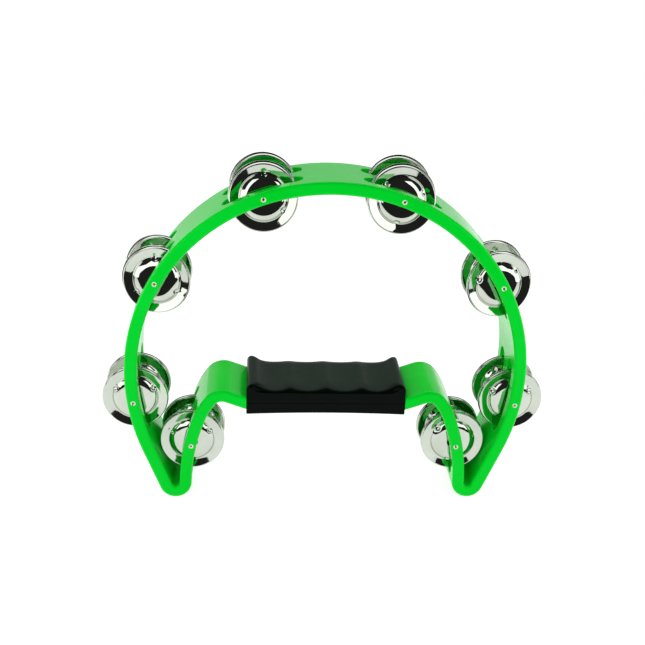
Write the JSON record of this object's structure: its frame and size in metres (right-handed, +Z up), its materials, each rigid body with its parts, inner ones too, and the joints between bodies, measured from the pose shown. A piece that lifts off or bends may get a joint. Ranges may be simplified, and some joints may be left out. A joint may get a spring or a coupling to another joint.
{
  "type": "tambourine",
  "caption": "Half-moon hand tambourine with a moulded plastic band frame, a finger-grooved grip and facing pairs of loose metal jingles on pins.",
  "frame": {"origin": "middle of the width and depth, level with the bottom of the two feet", "axes": "+X along the grip to the right, +Y through the depth from the front face to the back face, +Z up"},
  "size_m": [0.2872, 0.049, 0.2227],
  "materials": {
    "frame_plastic": "bright green moulded plastic, glossy",
    "grip_plastic": "black moulded plastic, satin to glossy",
    "jingle_nickel": "polished nickel plate",
    "pin_steel": "nickel-plated spring steel",
    "screw_steel": "zinc plated"
  },
  "bodies": {
    "frame_body": {"frame": "frame_plastic", "grip_upper": "grip_plastic", "grip_lower": "grip_plastic", "grip_screws": "screw_steel", "pin_top_left": "pin_steel", "pin_top_right": "pin_steel", "pin_upper_left": "pin_steel", "pin_upper_right": "pin_steel", "pin_lower_left": "pin_steel", "pin_lower_right": "pin_steel", "pin_inner_left": "pin_steel", "pin_inner_right": "pin_steel"},
    "jingle_top_left_front_a": {"jingle_top_left_front_a": "jingle_nickel"},
    "jingle_top_left_front_b": {"jingle_top_left_front_b": "jingle_nickel"},
    "jingle_top_left_back_a": {"jingle_top_left_back_a": "jingle_nickel"},
    "jingle_top_left_back_b": {"jingle_top_left_back_b": "jingle_nickel"},
    "jingle_top_right_front_a": {"jingle_top_right_front_a": "jingle_nickel"},
    "jingle_top_right_front_b": {"jingle_top_right_front_b": "jingle_nickel"},
    "jingle_top_right_back_a": {"jingle_top_right_back_a": "jingle_nickel"},
    "jingle_top_right_back_b": {"jingle_top_right_back_b": "jingle_nickel"},
    "jingle_upper_left_front_a": {"jingle_upper_left_front_a": "jingle_nickel"},
    "jingle_upper_left_front_b": {"jingle_upper_left_front_b": "jingle_nickel"},
    "jingle_upper_left_back_a": {"jingle_upper_left_back_a": "jingle_nickel"},
    "jingle_upper_left_back_b": {"jingle_upper_left_back_b": "jingle_nickel"},
    "jingle_upper_right_front_a": {"jingle_upper_right_front_a": "jingle_nickel"},
    "jingle_upper_right_front_b": {"jingle_upper_right_front_b": "jingle_nickel"},
    "jingle_upper_right_back_a": {"jingle_upper_right_back_a": "jingle_nickel"},
    "jingle_upper_right_back_b": {"jingle_upper_right_back_b": "jingle_nickel"},
    "jingle_lower_left_front_a": {"jingle_lower_left_front_a": "jingle_nickel"},
    "jingle_lower_left_front_b": {"jingle_lower_left_front_b": "jingle_nickel"},
    "jingle_lower_left_back_a": {"jingle_lower_left_back_a": "jingle_nickel"},
    "jingle_lower_left_back_b": {"jingle_lower_left_back_b": "jingle_nickel"},
    "jingle_lower_right_front_a": {"jingle_lower_right_front_a": "jingle_nickel"},
    "jingle_lower_right_front_b": {"jingle_lower_right_front_b": "jingle_nickel"},
    "jingle_lower_right_back_a": {"jingle_lower_right_back_a": "jingle_nickel"},
    "jingle_lower_right_back_b": {"jingle_lower_right_back_b": "jingle_nickel"},
    "jingle_inner_left_front_a": {"jingle_inner_left_front_a": "jingle_nickel"},
    "jingle_inner_left_front_b": {"jingle_inner_left_front_b": "jingle_nickel"},
    "jingle_inner_left_back_a": {"jingle_inner_left_back_a": "jingle_nickel"},
    "jingle_inner_left_back_b": {"jingle_inner_left_back_b": "jingle_nickel"},
    "jingle_inner_right_front_a": {"jingle_inner_right_front_a": "jingle_nickel"},
    "jingle_inner_right_front_b": {"jingle_inner_right_front_b": "jingle_nickel"},
    "jingle_inner_right_back_a": {"jingle_inner_right_back_a": "jingle_nickel"},
    "jingle_inner_right_back_b": {"jingle_inner_right_back_b": "jingle_nickel"}
  },
  "joints": [
    {"name": "jingle_top_left_front_a_slide", "type": "slide", "parent": "frame_body", "child": "jingle_top_left_front_a", "axis": [0, -1, 0], "range_m": [0, 0.0019]},
    {"name": "jingle_top_left_front_b_spin", "type": "hinge", "parent": "frame_body", "child": "jingle_top_left_front_b", "pos_m": [-0.04195, -0.00615, 0.20141], "axis": [0.0465, 0.9903, -0.1312], "continuous": true},
    {"name": "jingle_top_left_back_a_slide", "type": "slide", "parent": "frame_body", "child": "jingle_top_left_back_a", "axis": [0, -1, 0], "range_m": [0, 0.0019]},
    {"name": "jingle_top_left_back_b_spin", "type": "hinge", "parent": "frame_body", "child": "jingle_top_left_back_b", "pos_m": [-0.04195, 0.01525, 0.20141], "axis": [0.0465, 0.9903, -0.1312], "continuous": true},
    {"name": "jingle_top_right_front_a_slide", "type": "slide", "parent": "frame_body", "child": "jingle_top_right_front_a", "axis": [0, -1, 0], "range_m": [0, 0.0019]},
    {"name": "jingle_top_right_front_b_spin", "type": "hinge", "parent": "frame_body", "child": "jingle_top_right_front_b", "pos_m": [0.04195, -0.00615, 0.20141], "axis": [-0.0465, 0.9903, -0.1312], "continuous": true},
    {"name": "jingle_top_right_back_a_slide", "type": "slide", "parent": "frame_body", "child": "jingle_top_right_back_a", "axis": [0, -1, 0], "range_m": [0, 0.0019]},
    {"name": "jingle_top_right_back_b_spin", "type": "hinge", "parent": "frame_body", "child": "jingle_top_right_back_b", "pos_m": [0.04195, 0.01525, 0.20141], "axis": [-0.0465, 0.9903, -0.1312], "continuous": true},
    {"name": "jingle_upper_left_front_a_slide", "type": "slide", "parent": "frame_body", "child": "jingle_upper_left_front_a", "axis": [0, -1, 0], "range_m": [0, 0.0019]},
    {"name": "jingle_upper_left_front_b_spin", "type": "hinge", "parent": "frame_body", "child": "jingle_upper_left_front_b", "pos_m": [-0.10716, -0.00615, 0.14743], "axis": [0.1208, 0.9903, -0.0692], "continuous": true},
    {"name": "jingle_upper_left_back_a_slide", "type": "slide", "parent": "frame_body", "child": "jingle_upper_left_back_a", "axis": [0, -1, 0], "range_m": [0, 0.0019]},
    {"name": "jingle_upper_left_back_b_spin", "type": "hinge", "parent": "frame_body", "child": "jingle_upper_left_back_b", "pos_m": [-0.10716, 0.01525, 0.14743], "axis": [0.1208, 0.9903, -0.0692], "continuous": true},
    {"name": "jingle_upper_right_front_a_slide", "type": "slide", "parent": "frame_body", "child": "jingle_upper_right_front_a", "axis": [0, -1, 0], "range_m": [0, 0.0019]},
    {"name": "jingle_upper_right_front_b_spin", "type": "hinge", "parent": "frame_body", "child": "jingle_upper_right_front_b", "pos_m": [0.10716, -0.00615, 0.14743], "axis": [-0.1208, 0.9903, -0.0692], "continuous": true},
    {"name": "jingle_upper_right_back_a_slide", "type": "slide", "parent": "frame_body", "child": "jingle_upper_right_back_a", "axis": [0, -1, 0], "range_m": [0, 0.0019]},
    {"name": "jingle_upper_right_back_b_spin", "type": "hinge", "parent": "frame_body", "child": "jingle_upper_right_back_b", "pos_m": [0.10716, 0.01525, 0.14743], "axis": [-0.1208, 0.9903, -0.0692], "continuous": true},
    {"name": "jingle_lower_left_front_a_slide", "type": "slide", "parent": "frame_body", "child": "jingle_lower_left_front_a", "axis": [0, -1, 0], "range_m": [0, 0.0026]},
    {"name": "jingle_lower_left_front_b_spin", "type": "hinge", "parent": "frame_body", "child": "jingle_lower_left_front_b", "pos_m": [-0.12236, -0.00615, 0.06677], "axis": [0, 1, 0], "continuous": true},
    {"name": "jingle_lower_left_back_a_slide", "type": "slide", "parent": "frame_body", "child": "jingle_lower_left_back_a", "axis": [0, -1, 0], "range_m": [0, 0.0026]},
    {"name": "jingle_lower_left_back_b_spin", "type": "hinge", "parent": "frame_body", "child": "jingle_lower_left_back_b", "pos_m": [-0.12236, 0.01525, 0.06677], "axis": [0, 1, 0], "continuous": true},
    {"name": "jingle_lower_right_front_a_slide", "type": "slide", "parent": "frame_body", "child": "jingle_lower_right_front_a", "axis": [0, -1, 0], "range_m": [0, 0.0026]},
    {"name": "jingle_lower_right_front_b_spin", "type": "hinge", "parent": "frame_body", "child": "jingle_lower_right_front_b", "pos_m": [0.12236, -0.00615, 0.06677], "axis": [0, 1, 0], "continuous": true},
    {"name": "jingle_lower_right_back_a_slide", "type": "slide", "parent": "frame_body", "child": "jingle_lower_right_back_a", "axis": [0, -1, 0], "range_m": [0, 0.0026]},
    {"name": "jingle_lower_right_back_b_spin", "type": "hinge", "parent": "frame_body", "child": "jingle_lower_right_back_b", "pos_m": [0.12236, 0.01525, 0.06677], "axis": [0, 1, 0], "continuous": true},
    {"name": "jingle_inner_left_front_a_slide", "type": "slide", "parent": "frame_body", "child": "jingle_inner_left_front_a", "axis": [0, -1, 0], "range_m": [0, 0.0026]},
    {"name": "jingle_inner_left_front_b_spin", "type": "hinge", "parent": "frame_body", "child": "jingle_inner_left_front_b", "pos_m": [-0.08637, -0.00615, 0.03607], "axis": [0, 1, 0], "continuous": true},
    {"name": "jingle_inner_left_back_a_slide", "type": "slide", "parent": "frame_body", "child": "jingle_inner_left_back_a", "axis": [0, -1, 0], "range_m": [0, 0.0026]},
    {"name": "jingle_inner_left_back_b_spin", "type": "hinge", "parent": "frame_body", "child": "jingle_inner_left_back_b", "pos_m": [-0.08637, 0.01525, 0.03607], "axis": [0, 1, 0], "continuous": true},
    {"name": "jingle_inner_right_front_a_slide", "type": "slide", "parent": "frame_body", "child": "jingle_inner_right_front_a", "axis": [0, -1, 0], "range_m": [0, 0.0026]},
    {"name": "jingle_inner_right_front_b_spin", "type": "hinge", "parent": "frame_body", "child": "jingle_inner_right_front_b", "pos_m": [0.08637, -0.00615, 0.03607], "axis": [0, 1, 0], "continuous": true},
    {"name": "jingle_inner_right_back_a_slide", "type": "slide", "parent": "frame_body", "child": "jingle_inner_right_back_a", "axis": [0, -1, 0], "range_m": [0, 0.0026]},
    {"name": "jingle_inner_right_back_b_spin", "type": "hinge", "parent": "frame_body", "child": "jingle_inner_right_back_b", "pos_m": [0.08637, 0.01525, 0.03607], "axis": [0, 1, 0], "continuous": true}
  ]
}
